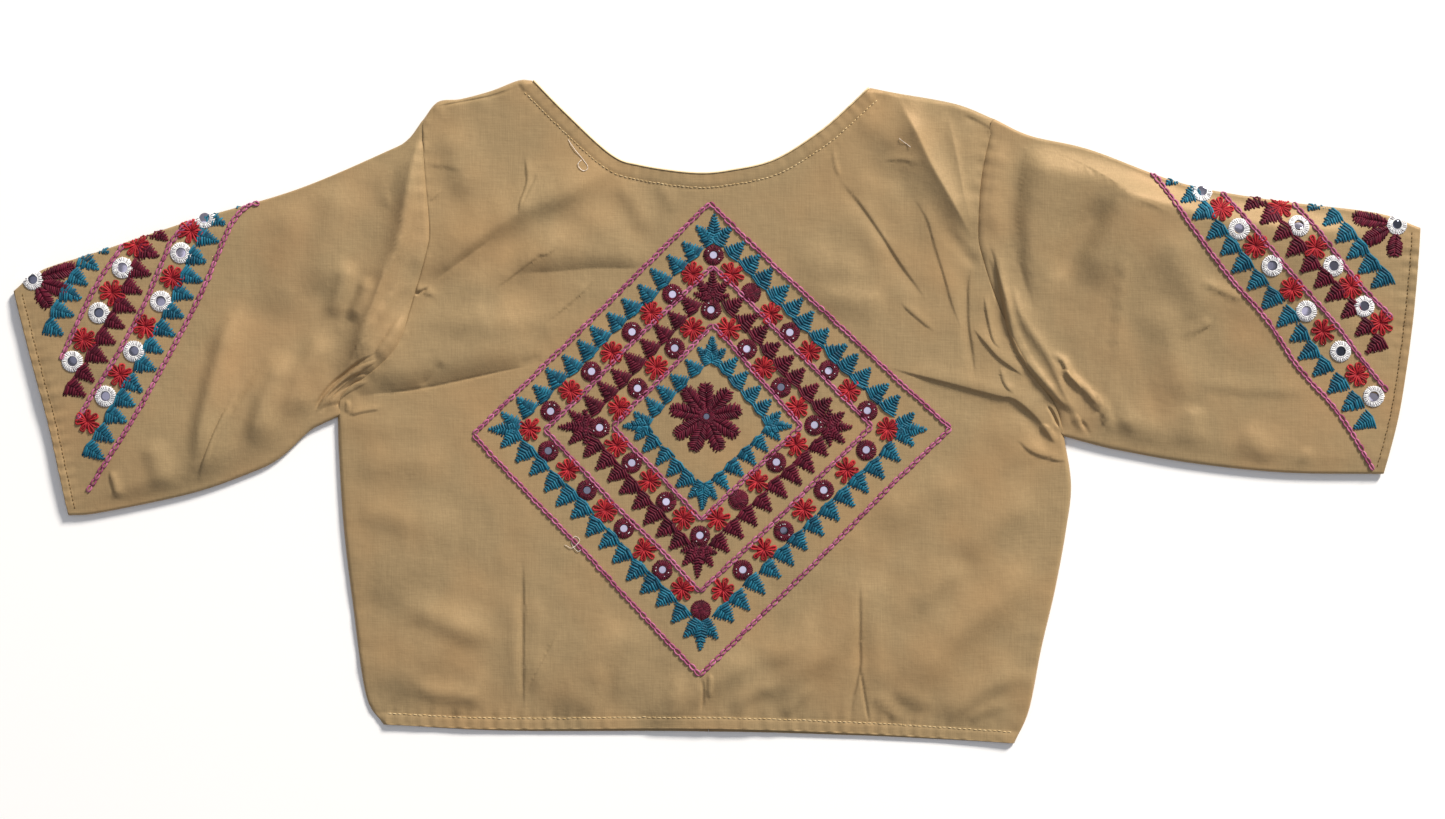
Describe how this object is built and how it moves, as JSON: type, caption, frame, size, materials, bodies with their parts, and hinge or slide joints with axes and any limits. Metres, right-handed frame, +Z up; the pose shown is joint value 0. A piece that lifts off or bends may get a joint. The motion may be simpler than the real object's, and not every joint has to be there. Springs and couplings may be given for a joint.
{
  "type": "choli blouse",
  "caption": "Short cotton-silk choli blouse with elbow sleeves and mirror-work embroidery, laid flat with its back up.",
  "frame": {"origin": "centre of the laid-out blouse seen from above, on the surface it lies on", "axes": "+X to the right of the blouse seen from above with its back up, +Y from the hem to the neck, +Z up"},
  "size_m": [0.8442, 0.398, 0.0071],
  "materials": {
    "cotton_silk": "golden khaki cotton silk, soft sheen",
    "bias_cotton": "golden khaki cotton, matt"
  },
  "bodies": {
    "root": {"back_panel": "cotton_silk", "front_left": "cotton_silk", "front_right": "cotton_silk", "sleeve_left": "cotton_silk", "sleeve_right": "cotton_silk", "neck_facing": "bias_cotton", "front_placket": "bias_cotton"}
  },
  "joints": []
}
